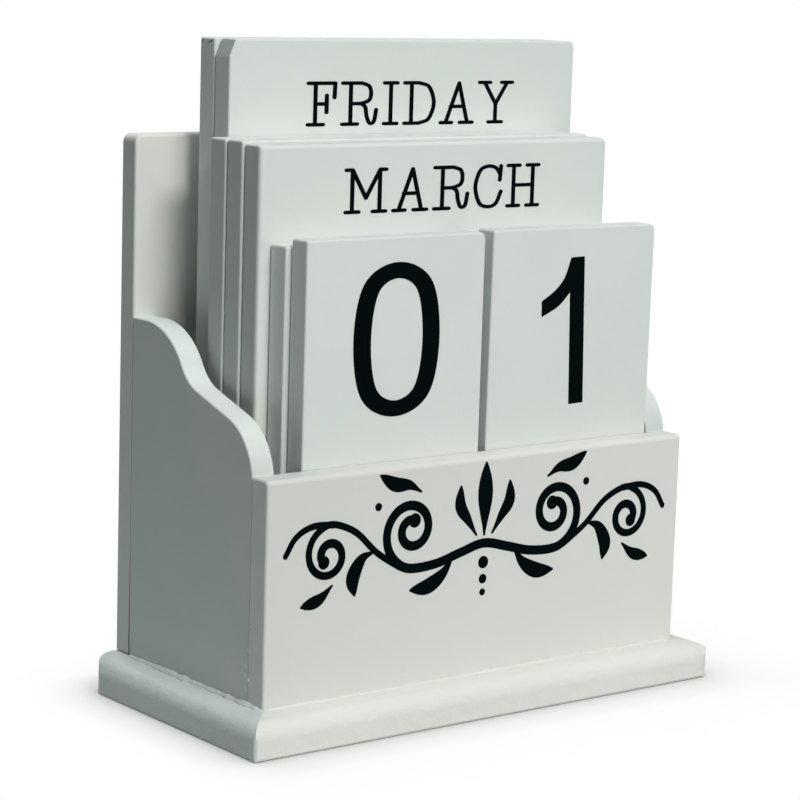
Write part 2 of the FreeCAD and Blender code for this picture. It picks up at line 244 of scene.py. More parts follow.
class Finish:
    """A material whose nodes are added and joined in short calls."""

    def __init__(self, name):
        self.material = bpy.data.materials.new(name)
        self.material.use_nodes = True
        self.nodes = self.material.node_tree.nodes
        self.links = self.material.node_tree.links
        self.nodes.clear()
        self.shader = self.nodes.new("ShaderNodeBsdfPrincipled")
        output = self.nodes.new("ShaderNodeOutputMaterial")
        self.links.new(self.shader.outputs["BSDF"], output.inputs["Surface"])
        self.coordinates = self.nodes.new("ShaderNodeTexCoord")

    def place(self, stretch=(1, 1, 1), shift=(0, 0, 0)):
        """Object coordinates, stretched and shifted."""
        mapping = self.nodes.new("ShaderNodeMapping")
        mapping.inputs["Scale"].default_value = stretch
        mapping.inputs["Location"].default_value = shift
        self.links.new(self.coordinates.outputs["Object"], mapping.inputs["Vector"])
        return mapping.outputs["Vector"]

    def along(self, source, direction):
        """How far a point's "Object" place, in metres, or its "Normal" reaches along a direction."""
        node = self.nodes.new("ShaderNodeVectorMath")
        node.operation = "DOT_PRODUCT"
        self.links.new(self.coordinates.outputs[source], node.inputs[0])
        node.inputs[1].default_value = direction
        return node.outputs["Value"]

    def noise(self, vector, scale, detail=2.0, roughness=0.5):
        """Soft noise around 0.5, with about scale lumps to a metre."""
        node = self.nodes.new("ShaderNodeTexNoise")
        node.inputs["Scale"].default_value = scale
        node.inputs["Detail"].default_value = detail
        node.inputs["Roughness"].default_value = roughness
        self.links.new(vector, node.inputs["Vector"])
        return node.outputs["Fac"]

    def spots(self, vector, scale):
        """Distance to the nearest of many scattered points."""
        node = self.nodes.new("ShaderNodeTexVoronoi")
        node.inputs["Scale"].default_value = scale
        self.links.new(vector, node.inputs["Vector"])
        return node.outputs["Distance"]

    def math(self, operation, first, second=0.0):
        """A sum, product or the like of two terms, each a number or another node's output."""
        node = self.nodes.new("ShaderNodeMath")
        node.operation = operation
        for socket, value in zip(node.inputs, (first, second)):
            if isinstance(value, (int, float)):
                socket.default_value = value
            else:
                self.links.new(value, socket)
        return node.outputs[0]

    def span(self, value, low, high, new_low=0.0, new_high=1.0, smooth=False):
        """The value taken from one range into another, and held at its ends."""
        node = self.nodes.new("ShaderNodeMapRange")
        node.interpolation_type = "SMOOTHSTEP" if smooth else "LINEAR"
        self.links.new(value, node.inputs["Value"])
        node.inputs["From Min"].default_value = low
        node.inputs["From Max"].default_value = high
        node.inputs["To Min"].default_value = new_low
        node.inputs["To Max"].default_value = new_high
        return node.outputs["Result"]

    def total(self, terms):
        """The terms added up, each another node's output."""
        result = terms[0]
        for term in terms[1:]:
            result = self.math("ADD", result, term)
        return result

    def blend(self, factor, first, second):
        """One of two colours, or a mix of them, each a constant or another node's output."""
        return either_colour(self.nodes, self.links, factor, first, second)

    def relief(self, height):
        """Bump from a height in millimetres."""
        node = self.nodes.new("ShaderNodeBump")
        node.inputs["Distance"].default_value = MM
        self.links.new(height, node.inputs["Height"])
        self.links.new(node.outputs["Normal"], self.shader.inputs["Normal"])

    def set(self, name, value):
        """Give one of the shader's inputs a number, a colour or another node's output."""
        socket = self.shader.inputs[name]
        if isinstance(value, (int, float)):
            socket.default_value = value
        elif isinstance(value, tuple):
            socket.default_value = (*value, 1.0)
        else:
            self.links.new(value, socket)


# Two tones that each paint drifts between
BOX_PAINT = ((0.795, 0.815, 0.770), (0.825, 0.825, 0.790))
# The side panels' two tones are darker and greener than the box paint: painted shade of faces turned from
# the light
SHADED_SIDE_PAINT = ((0.620, 0.700, 0.680), (0.685, 0.710, 0.690))
PLAQUE_PAINT = ((0.765, 0.815, 0.785), (0.795, 0.825, 0.800))
# Painted light and shade: the box paint in the cool, darker tone of its left-facing surfaces
BOX_PAINT_IN_COOL_SHADE = (0.690, 0.740, 0.745)

# Changes of a paint, which paint light and shade into it: the other colour, what it goes by, in which
# direction, where it begins and is full
LEFT = (-1, 0, 0)
UP = (0, 0, 1)
# Painted shade: the front panel's paint darkens towards its upper left, where less light falls on it
FRONT_SHADE_UPPER_LEFT = ((0.725, 0.735, 0.705), "Object", (-0.8, 0, 0.6), -0.03, 0.10)
# Painted light and shade: the base is painted in a cooler, darker tone where it faces left, for the cool
# light and the shade on that side
COOL_SHADE_LEFT = (BOX_PAINT_IN_COOL_SHADE, "Normal", LEFT, 0.0, 0.12)
# Painted light: the up-facing scalloped edges of the side panels are painted paler than their faces, for
# the light that falls on them from above
LIT_RIM = ((0.790, 0.845, 0.810), "Normal", UP, 0.2, 0.7)
# Painted shade: the left-facing edges of the month plaques are painted greyer than those of the others
SHADED_MONTH_EDGE = ((0.615, 0.655, 0.640), "Normal", LEFT, 0.5, 0.9)
# Painted light: the left-facing edges of the other plaques and cards are painted paler
LIT_PLAQUE_EDGE = ((0.815, 0.850, 0.840), "Normal", LEFT, 0.5, 0.9)
# Painted shade: the left-facing edge of the back panel is painted greyer
SHADED_BACK_EDGE = ((0.715, 0.730, 0.675), "Normal", LEFT, 0.5, 0.9)
# The worn, bevelled upper left corner of the front weekday plaque is painted greyer still: painted shade
# that keeps its bevel as dark as the plaque's side
SHADED_WORN_CORNER = ((0.560, 0.595, 0.585), "Normal", (-0.92, 0, 0.39), 0.94, 0.98)

# Share of the grain that is fine stipple, and the height of brush marks and depth of pits, in millimetres
STIPPLE_SHARE = 0.3
BRISTLE_HEIGHT = 0.012
PIT_DEPTH = 0.03
# How far apart two paints' marks are taken from the same noise
SEED_STEP = Vector((0.731, 0.377, 0.513))
BRUSH_SEED_STEP = Vector((0.271, 0, 0.619))
# Brush marks run along the direction with the small factor
BRUSHED_UP = (1, 1, 0.03)
BRUSHED_ACROSS = (0.04, 1, 1)


def painted(name, seed, tones, lumps=0.05, lump_scale=55, grain=0.045, brush=BRUSHED_UP, changes=()):
    """Satin acrylic paint over fibreboard: roller stipple, brush marks, soft lumps and small dents.

    lumps and grain are heights in millimetres. changes paint light and shade in: other tones taken on by
    place or by facing.
    """
    finish = Finish(name)
    place = finish.place(shift=SEED_STEP * seed)
    bristle_place = finish.place(stretch=brush, shift=BRUSH_SEED_STEP * seed)
    stipple = finish.noise(place, scale=1500, detail=2.0, roughness=0.6)
    peel = finish.noise(place, scale=330, detail=2.0)
    swell = finish.noise(place, scale=lump_scale, detail=2.0)
    drift = finish.noise(place, scale=22, detail=3.0, roughness=0.55)
    bristles = finish.noise(bristle_place, scale=900, detail=3.0, roughness=0.6)
    pits = finish.span(finish.spots(place, scale=120), 0.0, 0.07, 1.0, 0.0, smooth=True)
    finish.relief(finish.total([
        finish.math("MULTIPLY", stipple, grain * STIPPLE_SHARE),
        finish.math("MULTIPLY", peel, grain),
        finish.math("MULTIPLY", swell, lumps),
        finish.math("MULTIPLY", bristles, BRISTLE_HEIGHT),
        finish.math("MULTIPLY", pits, -PIT_DEPTH),
    ]))
    colour = finish.blend(finish.span(drift, 0.35, 0.65), *tones)
    # Painted light and shade: tones that change with place or with the way a surface faces
    for other, source, direction, begins, full in changes:
        share = finish.span(finish.along(source, direction), begins, full)
        colour = finish.blend(share, colour, other)
    finish.set("Base Color", colour)
    finish.set("Roughness", finish.span(peel, 0.3, 0.7, 0.42, 0.56))
    finish.set("Specular IOR Level", 0.25)
    return finish.material


def vinyl():
    """Matt black cut vinyl with a faint calendered grain."""
    finish = Finish("black_vinyl")
    place = finish.place()
    grain = finish.noise(place, scale=1800, detail=2.0, roughness=0.6)
    drift = finish.noise(place, scale=60, detail=2.0)
    finish.relief(finish.math("MULTIPLY", grain, 0.004))
    finish.set("Base Color", finish.blend(drift, (0.0008, 0.0028, 0.0034), (0.0014, 0.0042, 0.0050)))
    finish.set("Roughness", finish.span(grain, 0.3, 0.7, 0.55, 0.70))
    finish.set("Specular IOR Level", 0.01)
    return finish.material


def gap_shade():
    """Painted shade: a dark, matt colour with a fibrous grain, laid as a thin sheet where an open joint or
    a knock has only shade in it.
    """
    finish = Finish("gap_shade")
    fibres = finish.noise(finish.place(), scale=1400, detail=3.0, roughness=0.6)
    finish.set("Base Color", finish.blend(fibres, (0.10, 0.105, 0.095), (0.16, 0.16, 0.145)))
    finish.set("Roughness", finish.span(fibres, 0.3, 0.7, 0.85, 0.95))
    finish.set("Specular IOR Level", 0.1)
    return finish.material


def steel():
    """Drawn steel wire."""
    finish = Finish("steel_brads")
    grain = finish.noise(finish.place(stretch=(1, 1, 0.1)), scale=4000, detail=2.0)
    finish.relief(finish.math("MULTIPLY", grain, 0.002))
    finish.set("Base Color", finish.blend(grain, (0.42, 0.42, 0.43), (0.60, 0.60, 0.61)))
    finish.set("Roughness", finish.span(grain, 0.3, 0.7, 0.25, 0.4))
    finish.set("Metallic", 1.0)
    return finish.material


def board_paint(node, seed):
    """The paint of one board part, with its painted light and shade."""
    name = "paint_" + node
    if node == "base_board":
        return painted(name, seed, BOX_PAINT, lumps=0.22, lump_scale=130, grain=0.26,
                       brush=BRUSHED_ACROSS, changes=(COOL_SHADE_LEFT,))
    if node == "front_panel":
        return painted(name, seed, BOX_PAINT, brush=BRUSHED_ACROSS, changes=(FRONT_SHADE_UPPER_LEFT,))
    if node == "back_panel":
        return painted(name, seed, BOX_PAINT, changes=(SHADED_BACK_EDGE,))
    if node.endswith("side_panel"):
        return painted(name, seed, SHADED_SIDE_PAINT, changes=(LIT_RIM,))
    # Painted shade on the left-facing edges of the month plaques, painted light on those of the others, and
    # painted shade on the worn corner
    edges = [SHADED_MONTH_EDGE if node.startswith("month") else LIT_PLAQUE_EDGE]
    if node == "weekday_plaque_front":
        edges.append(SHADED_WORN_CORNER)
    return painted(name, seed, PLAQUE_PAINT, grain=0.06, changes=edges)


def dress_nodes():
    """Every board part gets its own paint, so that no two carry the same marks."""
    steel_wire = steel()
    for seed, node in enumerate(sorted(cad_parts)):
        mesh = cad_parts[node].data
        mesh.materials.clear()
        mesh.materials.append(steel_wire if node.endswith("brads") else board_paint(node, seed))


# ---------------------------------------------------------------- shapes cut from vinyl

# Steps along one segment of a curve, round the end of a stroke, and along one chunk of a stroke
STROKE_STEPS = 8
CAP_STEPS = 7
CHUNK = 14
# How far thin pieces stand proud of their board, and how far each is let into it
VINYL_THICKNESS = 0.09 * MM
RUN_THICKNESS = 0.10 * MM
HAIRLINE_THICKNESS = 0.02 * MM
SHEET_SINK = 0.01 * MM
# A curve whose ends are this close is closed, and corners of a sheet this close, in metres, are joined
CLOSED_WITHIN = 1e-9
WELD_DISTANCE = 1e-6
# The triangulation keeps only what lies inside the outlines
INSIDE_ONLY = 1


def smooth_line(points, steps=STROKE_STEPS):
    """A Catmull-Rom curve through the points. Two points give a straight line."""
    if len(points) == 2:
        return list(points)
    closed = (points[0] - points[-1]).length < CLOSED_WITHIN
    line = []
    for index in range(len(points) - 1):
        start, end = points[index], points[index + 1]
        if index > 0:
            before = points[index - 1]
        else:
            before = points[-2] if closed else start * 2 - end
        if index + 2 < len(points):
            after = points[index + 2]
        else:
            after = points[1] if closed else end * 2 - start
        for step in range(steps):
            t = step / steps
            line.append(0.5 * (2 * start + (end - before) * t
                               + (2 * before - 5 * start + 4 * end - after) * t * t
                               + (3 * start - before - 3 * end + after) * t * t * t))
    line.append(points[-1])
    return line


def ribbon(line, radii, round_ends=True):
    """Outline of a stroke along a line as one polygon, with its half width at each point."""
    left, right = [], []
    for index, point in enumerate(line):
        ahead = line[min(index + 1, len(line) - 1)]
        behind = line[max(index - 1, 0)]
        along = (ahead - behind).normalized()
        across = Vector((-along.y, along.x)) * radii[index]
        left.append(point + across)
        right.append(point - across)
    outline = list(right)
    if round_ends:
        outline += cap(line[-1], line[-1] - line[-2], radii[-1])
    outline += reversed(left)
    if round_ends:
        outline += cap(line[0], line[0] - line[1], radii[0])
    return outline


def cap(centre, outward, radius):
    """The inner points of a half circle round the end of a stroke."""
    start = math.atan2(outward.y, outward.x) - math.pi / 2
    points = []
    for step in range(1, CAP_STEPS):
        angle = start + math.pi * step / CAP_STEPS
        points.append(centre + Vector((math.cos(angle), math.sin(angle))) * radius)
    return points


def stroke(points, radius, round_ends=True):
    """Polygons that together cover a stroke, cut into chunks so that it may cross itself.

    radius is a number, or a function of how far along the stroke a point is, from 0 to 1.
    """
    line = smooth_line([Vector(p) for p in points])
    if not callable(radius):
        radii = [radius] * len(line)
    else:
        radii = [radius(index / (len(line) - 1)) for index in range(len(line))]
    outlines = []
    for start in range(0, len(line) - 1, CHUNK):
        piece = slice(start, start + CHUNK + 1)
        outlines.append(ribbon(line[piece], radii[piece], round_ends or len(line) > CHUNK + 1))
    return outlines


def add_piece(name, mesh, body, material):
    """A new piece of the object, riding on body."""
    mesh.materials.append(material)
    piece = bpy.data.objects.new(name, mesh)
    bpy.context.scene.collection.objects.link(piece)
    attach(piece, body)


def cut_sheet(name, outlines, place, body, material, thickness=VINYL_THICKNESS):
    """A thin flat piece: the outlines joined into one shape, laid by place, riding on body.

    place takes a flat point (x, y) and a height above the surface to a point of the object's frame.
    """
    points, faces = [], []
    for outline in outlines:
        faces.append(list(range(len(points), len(points) + len(outline))))
        points.extend(Vector(p) for p in outline)
    points, _, faces, _, _, sources = delaunay_2d_cdt(points, [], faces, INSIDE_ONLY, WELD_DISTANCE)
    faces = [face for face, source in zip(faces, sources) if source]
    count = {}
    for face in faces:
        for a, b in zip(face, face[1:] + face[:1]):
            key = (min(a, b), max(a, b))
            count[key] = count.get(key, 0) + 1

    mesh = bpy.data.meshes.new(name)
    build = bmesh.new()
    used = sorted({corner for face in faces for corner in face})
    low = {i: build.verts.new(place(points[i].x, points[i].y, -SHEET_SINK)) for i in used}
    high = {i: build.verts.new(place(points[i].x, points[i].y, thickness)) for i in used}
    for face in faces:
        build.faces.new([high[i] for i in face])
        build.faces.new([low[i] for i in reversed(face)])
        for a, b in zip(face, face[1:] + face[:1]):
            if count[(min(a, b), max(a, b))] == 1:
                build.faces.new([high[a], low[a], low[b], high[b]])
    bmesh.ops.recalc_face_normals(build, faces=build.faces)
    build.to_mesh(mesh)
    build.free()
    add_piece(name, mesh, body, material)


# Capital letters in a typewriter style, on a grid 100 high. Each has its width and its strokes: two
# points make a straight stroke, more make a curve through them. The centre of the pen runs from 4 to 96.
LETTERS = {
    "A": (74, [[(41, 95), (14.5, 4)], [(41, 95), (59.5, 4)], [(24, 41), (52, 41)],
               [(4, 4), (27, 4)], [(44, 4), (70, 4)]]),
    "B": (66, [[(18, 4), (18, 96)], [(4, 96), (36, 96)], [(18, 52), (38, 52)], [(4, 4), (38, 4)],
               [(36, 96), (50, 92), (56, 76), (50, 58), (38, 52)],
               [(38, 52), (54, 46), (62, 28), (54, 9), (38, 4)]]),
    "C": (60, [[(56, 96), (54, 64)],
               [(55, 76), (46, 91), (30, 96), (13, 86), (4, 50), (13, 13), (31, 4), (47, 11), (57, 38)]]),
    "D": (68, [[(18, 4), (18, 96)], [(4, 96), (34, 96)], [(4, 4), (34, 4)],
               [(34, 96), (54, 86), (64, 50), (54, 14), (34, 4)]]),
    "E": (63, [[(18, 4), (18, 96)], [(4, 96), (58, 96)], [(4, 4), (58, 4)], [(18, 51), (42, 51)],
               [(58, 96), (57, 64)], [(58, 4), (59, 38)], [(42, 72), (41, 30)]]),
    "F": (60, [[(18, 4), (18, 96)], [(4, 96), (56, 96)], [(4, 4), (34, 4)], [(18, 50), (40, 50)],
               [(56, 96), (55, 64)], [(40, 69), (40, 31)]]),
    "G": (68, [[(55, 96), (53, 66)], [(36, 48), (64, 48)], [(54, 48), (53, 4)],
               [(54, 78), (45, 91), (30, 96), (13, 86), (4, 50), (13, 13), (30, 4), (44, 8), (53, 18)]]),
    "H": (72, [[(16, 4), (16, 96)], [(56, 4), (56, 96)], [(16, 51), (56, 51)], [(4, 4), (28, 4)],
               [(4, 96), (28, 96)], [(44, 4), (68, 4)], [(44, 96), (68, 96)]]),
    "I": (34, [[(17, 4), (17, 96)], [(4, 96), (30, 96)], [(4, 4), (30, 4)]]),
    "J": (56, [[(24, 96), (52, 96)], [(38, 96), (38, 60), (37, 22), (22, 4), (8, 12), (5, 32)]]),
    "L": (60, [[(18, 4), (18, 96)], [(4, 96), (32, 96)], [(4, 4), (55, 4)], [(55, 4), (56, 38)]]),
    "M": (85, [[(16, 4), (16, 96)], [(69, 4), (69, 96)], [(16, 96), (42.5, 34)], [(69, 96), (42.5, 34)],
               [(4, 96), (16, 96)], [(69, 96), (81, 96)], [(4, 4), (29, 4)], [(56, 4), (81, 4)]]),
    "N": (74, [[(16, 4), (16, 96)], [(58, 4), (58, 96)], [(16, 96), (58, 4)], [(4, 96), (16, 96)],
               [(46, 96), (70, 96)], [(4, 4), (28, 4)]]),
    "O": (58, [[(29, 96), (45, 86), (54, 50), (45, 14), (29, 4), (13, 14), (4, 50), (13, 86), (29, 96)]]),
    "P": (62, [[(18, 4), (18, 96)], [(4, 96), (38, 96)], [(4, 4), (34, 4)], [(18, 45), (38, 45)],
               [(38, 96), (53, 89), (58, 70), (53, 52), (38, 45)]]),
    "R": (76, [[(20, 4), (20, 96)], [(4, 96), (42, 96)], [(4, 4), (34, 4)], [(20, 50), (40, 50)],
               [(42, 96), (56, 89), (60, 73), (56, 57), (40, 50)],
               [(40, 50), (49, 42), (52, 22), (58, 6), (67, 10), (71, 36)]]),
    "S": (52, [[(47, 96), (46, 64)], [(5, 4), (6, 38)],
               [(46, 74), (39, 91), (26, 96), (12, 91), (6, 76), (12, 60), (27, 53), (41, 45),
                (47, 27), (41, 10), (27, 4), (12, 9), (6, 26)]]),
    "T": (61, [[(4, 96), (57, 96)], [(4, 96), (4, 63)], [(57, 96), (56, 63)], [(30.5, 96), (30.5, 4)],
               [(16, 4), (45, 4)]]),
    "U": (72, [[(4, 96), (28, 96)], [(44, 96), (68, 96)],
               [(16, 96), (16, 60), (18, 22), (36, 4), (54, 22), (56, 60), (56, 96)]]),
    "V": (74, [[(14, 96), (37, 4)], [(60, 96), (37, 4)], [(3, 96), (26, 96)], [(48, 96), (71, 96)]]),
    "W": (92, [[(12, 96), (27, 4)], [(46, 78), (27, 4)], [(46, 78), (65, 4)], [(80, 96), (65, 4)],
               [(2, 96), (24, 96)], [(68, 96), (90, 96)]]),
    "Y": (76, [[(14, 96), (38, 46)], [(62, 96), (38, 46)], [(38, 46), (38, 4)], [(3, 96), (26, 96)],
               [(50, 96), (73, 96)], [(24, 4), (52, 4)]]),
}
LETTER_GRID = 100
LETTER_PEN = 4.0
LETTER_GAP = 7.0
CAP_HEIGHT = 10.5 * MM
# Letters are drawn wider than high by this, or by less where the word would not fit its plaque
LETTER_STRETCH = 1.42
WORD_WIDTH_LIMIT = 90 * MM


def word_outlines(word):
    """Outlines of a word, centred on the origin, in metres."""
    width = sum(LETTERS[letter][0] for letter in word) + LETTER_GAP * (len(word) - 1)
    scale = CAP_HEIGHT / LETTER_GRID
    stretch = min(LETTER_STRETCH, WORD_WIDTH_LIMIT / (width * scale))
    outlines = []
    left = -width / 2
    for letter in word:
        advance, strokes = LETTERS[letter]
        for points in strokes:
            for outline in stroke(points, LETTER_PEN):
                outlines.append([Vector(((p.x + left) * scale * stretch,
                                         (p.y - LETTER_GRID / 2) * scale)) for p in outline])
        left += advance + LETTER_GAP
    return outlines


# Numerals in a plain bold style, on a grid 100 high and 52 wide, strokes as for the letters. The "1"
# is one outline: a stem with a curved flag.
DIGIT_GRID = 100
DIGIT_WIDTH = 52
DIGIT_PEN = 5.2
DIGIT_HEIGHT = 35.6 * MM
DIGIT_STRETCH = 1.34
DIGITS = {
    "0": [[(26, 94.8), (42, 84), (46.8, 50), (42, 16), (26, 5.2), (10, 16), (5.2, 50), (10, 84),
           (26, 94.8)]],
    "2": [[(6.5, 71), (10.5, 87), (25, 94.8), (40, 88), (45, 73), (38, 55), (22, 35), (10.5, 19), (6.2, 6)],
          [(6.2, 5.2), (46.5, 5.2)]],
    "3": [[(7.5, 75), (13, 90), (25.5, 94.8), (38, 89), (42.5, 75), (37, 60), (23, 53.5)],
          [(23, 53.5), (39, 48), (46.4, 31), (40.5, 12), (25, 5.2), (12, 10), (6, 27)]],
    "4": [[(36, 98), (36, 2)], [(36, 95), (5.5, 31)], [(3, 29), (50, 29)]],
    "5": [[(12, 94.8), (44, 94.8)], [(13, 95), (8.5, 50)],
          [(8.5, 50), (24, 60.5), (38, 55), (46.4, 34), (40, 12), (24.5, 5.2), (12, 9.5), (5.6, 25)]],
    "6": [[(44, 76), (39, 90), (27.5, 94.8), (13, 85), (5.6, 48), (11.5, 14), (27, 5.2), (41, 13),
           (46.6, 33), (41, 52), (27, 60), (13, 53), (6.5, 38)]],
    "7": [[(5, 94.8), (46, 94.8)], [(45.5, 93), (32, 68), (22.5, 38), (18.5, 2)]],
    "8": [[(26, 94.8), (38.5, 90), (43, 75), (38, 60.5), (26, 54), (14, 60.5), (9, 75), (13.5, 90),
           (26, 94.8)],
          [(26, 54), (40, 47), (46.8, 29.5), (40, 11.5), (26, 5.2), (12, 11.5), (5.2, 29.5), (12, 47),
           (26, 54)]],
    "9": [[(8, 24), (13, 10), (24.5, 5.2), (39, 15), (46.4, 52), (40.5, 86), (25, 94.8), (11, 87),
           (5.4, 67), (11, 48), (25, 40), (39, 47), (45.5, 62)]],
}
# Left and right edge of the stem of the "1", and the steps along one segment of its flag
ONE_STEM = (18.6, 28.1)
FLAG_STEPS = 6


def digit_one():
    """Stem with a curved flag, as one outline on the numeral grid."""
    upper = smooth_line([Vector(p) for p in ((0, 72.4), (9, 79), (15, 87), (19.3, 100))], FLAG_STEPS)
    lower = smooth_line([Vector(p) for p in ((ONE_STEM[0], 76.5), (11, 68), (0, 61.8))], FLAG_STEPS)
    stem = [Vector((ONE_STEM[1], 100)), Vector((ONE_STEM[1], 0)), Vector((ONE_STEM[0], 0))]
    return list(reversed(upper + stem + lower))


def digit_outlines(digit):
    """Outlines of a numeral, centred on the origin, in metres."""
    if digit == "1":
        middle = ONE_STEM[1] / 2
        outlines = [digit_one()]
    else:
        middle = DIGIT_WIDTH / 2
        outlines = [outline for points in DIGITS[digit] for outline in stroke(points, DIGIT_PEN, False)]
    scale = DIGIT_HEIGHT / DIGIT_GRID
    return [[Vector(((p.x - middle) * scale * DIGIT_STRETCH, (p.y - DIGIT_GRID / 2) * scale))
             for p in outline] for outline in outlines]


# Each plaque is marked four times: front upright, front turned over, back upright, back turned over
MARKS = {
    "tens_card": "0 1 2 3",
    "units_card": "1 2 3 4",
    "spare_tens_card": "5 6 7 8",
    "spare_units_card": "9 0 1 2",
    "month_plaque_front": "MARCH APRIL MAY JUNE",
    "month_plaque_middle": "JULY AUGUST SEPTEMBER OCTOBER",
    "month_plaque_rear": "NOVEMBER DECEMBER JANUARY FEBRUARY",
    "weekday_plaque_front": "FRIDAY SATURDAY SUNDAY MONDAY",
    "weekday_plaque_rear": "TUESDAY WEDNESDAY THURSDAY",
}
# How far right of the plaque's middle and below its top each kind of mark is centred, and how many
# degrees the "1" is turned anticlockwise
WORD_SHIFT = 1.1 * MM
WEEKDAY_DROP = 15.0 * MM
MONTH_DROP = 10.9 * MM
DIGIT_SHIFT = 0.2 * MM
DIGIT_DROP = 23.6 * MM
ONE_SHIFT = -3.1 * MM
ONE_DROP = 25.15 * MM
ONE_TILT = 2.3
# The marks stuck on by hand are up to this many degrees off level, by a sine in steps of so many radians
MARK_TILT = 0.35
TILT_STEP = 2.4
# Degrees that a card leans
CARD_LEAN = {"units_card": 0.4}


def mark_place(node, quarter, shift, drop, tilt):
    """A place function for one of a plaque's four marks, leaning with its card."""
    low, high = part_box(node)
    centre = (low + high) / 2
    height = high.z - low.z
    thickness = high.y - low.y
    lean = math.radians(CARD_LEAN.get(node, 0))
    # The box of a leaning card is a little taller than the card
    if lean:
        height = (height - (high.x - low.x) * math.sin(lean)) / (math.cos(lean) - math.sin(lean) ** 2)
    lift = height / 2 - drop
    turned = -1 if quarter % 2 else 1
    behind = -1 if quarter > 1 else 1
    spin = math.radians(tilt)

    def place(x, y, proud):
        right = shift + x * math.cos(spin) - y * math.sin(spin)
        up = lift + x * math.sin(spin) + y * math.cos(spin)
        offset = Vector((right * turned * behind, -(thickness / 2 + proud) * behind, up * turned))
        return centre + Matrix.Rotation(lean, 3, "Y") @ offset
    return place


def mark_plaques():
    """Words on the weekday and month plaques and numerals on the cards."""
    count = 0
    for node, marks in MARKS.items():
        for quarter, mark in enumerate(marks.split()):
            count += 1
            tilt = MARK_TILT * math.sin(count * TILT_STEP) if quarter else 0.0
            if mark == "1":
                place = mark_place(node, quarter, ONE_SHIFT, ONE_DROP, ONE_TILT)
                outlines = digit_outlines(mark)
            elif mark.isdigit():
                place = mark_place(node, quarter, DIGIT_SHIFT, DIGIT_DROP, tilt)
                outlines = digit_outlines(mark)
            else:
                drop = MONTH_DROP if node.startswith("month") else WEEKDAY_DROP
                place = mark_place(node, quarter, WORD_SHIFT, drop, tilt)
                outlines = word_outlines(mark)
            side = ("front_up", "front_down", "back_up", "back_down")[quarter]
            cut_sheet(node + "_mark_" + side, outlines, place, node, VINYL)


# ---------------------------------------------------------------- scroll ornament on the front panel

# Half widths of a stroke and of a leaf's points, in millimetres
SCROLL_PEN = 1.12
LEAF_POINT = 0.28
# Powers that set how far past its middle a leaf is fullest, and how plump it is
LEAF_SKEW = 1.5
LEAF_PLUMP = 0.9
DOT_SIDES = 20


def spiral(centre, start_angle, turns, outer, inner, count):
    """Points of a spiral that tightens from the outer to the inner radius. Turns run anticlockwise."""
    points = []
    for step in range(count + 1):
        t = step / count
        angle = math.radians(start_angle + 360 * turns * t)
        radius = outer * (inner / outer) ** t
        points.append(Vector(centre) + Vector((math.cos(angle), math.sin(angle))) * radius)
    return points


def mirrored(points):
    """The points with left and right exchanged."""
    return [Vector((-p[0], p[1])) for p in points]


def teardrop(width):
    """Half width along a leaf with a point at each end, fullest past its middle."""
    swell = width / 2 - LEAF_POINT
    return lambda t: LEAF_POINT + swell * math.sin(math.pi * t ** LEAF_SKEW) ** LEAF_PLUMP


def tapering(first, last):
    """Half width along a stroke that changes evenly."""
    return lambda t: first + (last - first) * t


def dot(centre, radius):
    """Outline of a round dot."""
    angles = [math.tau * step / DOT_SIDES for step in range(DOT_SIDES)]
    return [[Vector(centre) + Vector((math.cos(a), math.sin(a))) * radius for a in angles]]


def scroll_outlines():
    """A symmetrical double scroll with leaves, in millimetres in the plane of the front panel."""
    inner_scroll = spiral((21.5, 45.8), -90, 1.55, 9.0, 2.3, 20)
    outer_scroll = spiral((45.0, 42.4), 100, -1.4, 7.2, 2.0, 18)
    right_half = [Vector((7, 38.9)), Vector((14.2, 37.1))] + inner_scroll
    main = list(reversed(mirrored(right_half))) + [Vector((0, 40.4))] + right_half
    outlines = stroke(main, SCROLL_PEN)
    for side in (list, mirrored):
        outlines += stroke(side([Vector((24.8, 37.4)), Vector((31.5, 41.6)), Vector((37.6, 47.0))]
                                + outer_scroll), tapering(0.75, SCROLL_PEN))
        outlines += stroke(side([(43.6, 49.4), (49.6, 49.6), (54.2, 47.6), (57.0, 43.6)]),
                           tapering(0.8, 0.7))
        outlines += stroke(side([(32.2, 42.0), (35.8, 40.6), (38.2, 36.4), (37.6, 32.4)]), teardrop(3.8))
        outlines += stroke(side([(19.2, 54.6), (22.6, 56.4), (26.8, 57.0), (31.0, 59.4)]), teardrop(3.4))
        outlines += stroke(side([(9.0, 38.6), (12.0, 34.6), (16.4, 32.0), (21.6, 31.6)]), teardrop(3.8))
        outlines += stroke(side([(44.0, 35.4), (47.6, 32.6), (52.4, 31.4)]), teardrop(3.0))
        outlines += stroke(side([(2.4, 42.6), (5.0, 46.4), (7.4, 50.0), (7.4, 54.6)]), teardrop(3.2))
        outlines += dot(side([inner_scroll[-1]])[0], 1.7)
        outlines += dot(side([outer_scroll[-1]])[0], 1.55)
        outlines += dot(side([(31.4, 52.2)])[0], 0.95)
    outlines += stroke([(0, 42.4), (0, 47.5), (0, 53), (0, 59.6)], teardrop(4.4))
    outlines += dot((0, 35.8), 1.5)
    outlines += dot((0, 31.8), 1.15)
    outlines += dot((0, 28.6), 0.85)
    return [[Vector(p) * MM for p in outline] for outline in outlines]


def add_scroll():
    """The ornament on the front panel."""
    low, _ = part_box("front_panel")

    def place(x, y, proud):
        return Vector((x, low.y - proud, y))
    cut_sheet("front_scroll", scroll_outlines(), place, "holder", VINYL)


# ---------------------------------------------------------------- filler, joint lines and knocks

BEAD_STEP = 0.5 * MM
BEAD_SIDES = 10
# Length of a bead's lumps, how many times finer the small ones on them are, and how strong
BEAD_LUMP = 3.4 * MM
FINE_LUMP = 2.7
FINE_LUMP_SHARE = 0.25
